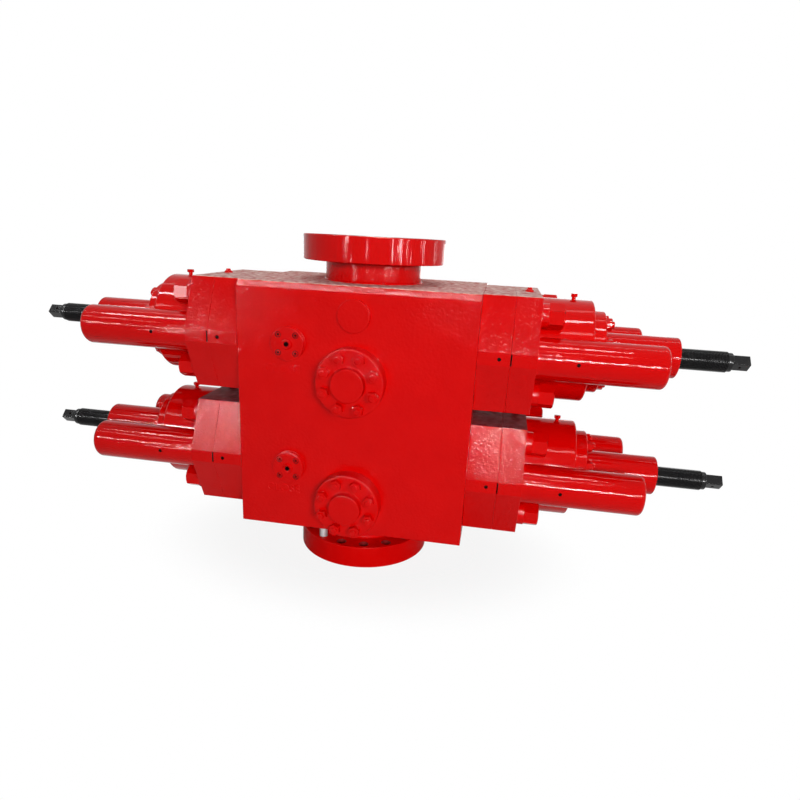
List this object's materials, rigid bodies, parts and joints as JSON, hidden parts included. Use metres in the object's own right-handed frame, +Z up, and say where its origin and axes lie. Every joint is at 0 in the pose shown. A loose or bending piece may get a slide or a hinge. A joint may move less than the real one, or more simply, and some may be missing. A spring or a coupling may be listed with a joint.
{
  "type": "double ram blowout preventer",
  "caption": "Double ram blowout preventer with studded end flanges, sliding bonnets on hydraulic ram-change cylinders, and hand-turned locking screws.",
  "frame": {"origin": "centre of the bottom flange's underside, on the well's axis", "axes": "+X along the rams to the picture's right, +Y away from the picture's camera, +Z up the well"},
  "size_m": [3.52, 1.0046, 1.5871],
  "materials": {
    "red_enamel": "glossy",
    "screw_steel": "black oxide, oiled",
    "rod_steel": "polished",
    "ram_steel": "machined"
  },
  "bodies": {
    "stack": {"body_block": "red_enamel", "bottom_flange": "red_enamel", "top_flange": "red_enamel", "round_plug": "red_enamel", "outlet_blind_upper_front": "red_enamel", "port_upper_front": "red_enamel", "outlet_blind_upper_back": "red_enamel", "port_upper_back": "red_enamel", "outlet_blind_lower_front": "red_enamel", "port_lower_front": "red_enamel", "outlet_blind_lower_back": "red_enamel", "port_lower_back": "red_enamel", "change_rod_upper_left_front": "rod_steel", "change_rod_upper_left_back": "rod_steel", "change_rod_upper_right_front": "rod_steel", "change_rod_upper_right_back": "rod_steel", "change_rod_lower_left_front": "rod_steel", "change_rod_lower_left_back": "rod_steel", "change_rod_lower_right_front": "rod_steel", "change_rod_lower_right_back": "rod_steel"},
    "bonnet_group_upper_left": {"middle_flange_upper_left": "red_enamel", "bonnet_upper_left": "red_enamel", "operating_cylinder_upper_left": "red_enamel", "screw_housing_upper_left": "red_enamel", "change_cylinder_upper_left_front": "red_enamel", "change_cylinder_upper_left_back": "red_enamel", "ram_upper_left": "ram_steel"},
    "screw_group_upper_left": {"locking_screw_upper_left": "screw_steel"},
    "bonnet_group_upper_right": {"middle_flange_upper_right": "red_enamel", "bonnet_upper_right": "red_enamel", "operating_cylinder_upper_right": "red_enamel", "screw_housing_upper_right": "red_enamel", "change_cylinder_upper_right_front": "red_enamel", "change_cylinder_upper_right_back": "red_enamel", "ram_upper_right": "ram_steel"},
    "screw_group_upper_right": {"locking_screw_upper_right": "screw_steel"},
    "bonnet_group_lower_left": {"middle_flange_lower_left": "red_enamel", "bonnet_lower_left": "red_enamel", "operating_cylinder_lower_left": "red_enamel", "screw_housing_lower_left": "red_enamel", "change_cylinder_lower_left_front": "red_enamel", "change_cylinder_lower_left_back": "red_enamel", "ram_lower_left": "ram_steel"},
    "screw_group_lower_left": {"locking_screw_lower_left": "screw_steel"},
    "bonnet_group_lower_right": {"middle_flange_lower_right": "red_enamel", "bonnet_lower_right": "red_enamel", "operating_cylinder_lower_right": "red_enamel", "screw_housing_lower_right": "red_enamel", "change_cylinder_lower_right_front": "red_enamel", "change_cylinder_lower_right_back": "red_enamel", "ram_lower_right": "ram_steel"},
    "screw_group_lower_right": {"locking_screw_lower_right": "screw_steel"}
  },
  "joints": [
    {"name": "bonnet_slide_upper_left", "type": "slide", "parent": "stack", "child": "bonnet_group_upper_left", "axis": [-1, 0, 0], "range_m": [0, 0.54]},
    {"name": "screw_slide_upper_left", "type": "slide", "parent": "bonnet_group_upper_left", "child": "screw_group_upper_left", "axis": [1, 0, 0], "range_m": [0, 0.2]},
    {"name": "bonnet_slide_upper_right", "type": "slide", "parent": "stack", "child": "bonnet_group_upper_right", "axis": [1, 0, 0], "range_m": [0, 0.54]},
    {"name": "screw_slide_upper_right", "type": "slide", "parent": "bonnet_group_upper_right", "child": "screw_group_upper_right", "axis": [-1, 0, 0], "range_m": [0, 0.2]},
    {"name": "bonnet_slide_lower_left", "type": "slide", "parent": "stack", "child": "bonnet_group_lower_left", "axis": [-1, 0, 0], "range_m": [0, 0.54]},
    {"name": "screw_slide_lower_left", "type": "slide", "parent": "bonnet_group_lower_left", "child": "screw_group_lower_left", "axis": [1, 0, 0], "range_m": [0, 0.2]},
    {"name": "bonnet_slide_lower_right", "type": "slide", "parent": "stack", "child": "bonnet_group_lower_right", "axis": [1, 0, 0], "range_m": [0, 0.54]},
    {"name": "screw_slide_lower_right", "type": "slide", "parent": "bonnet_group_lower_right", "child": "screw_group_lower_right", "axis": [-1, 0, 0], "range_m": [0, 0.2]}
  ]
}
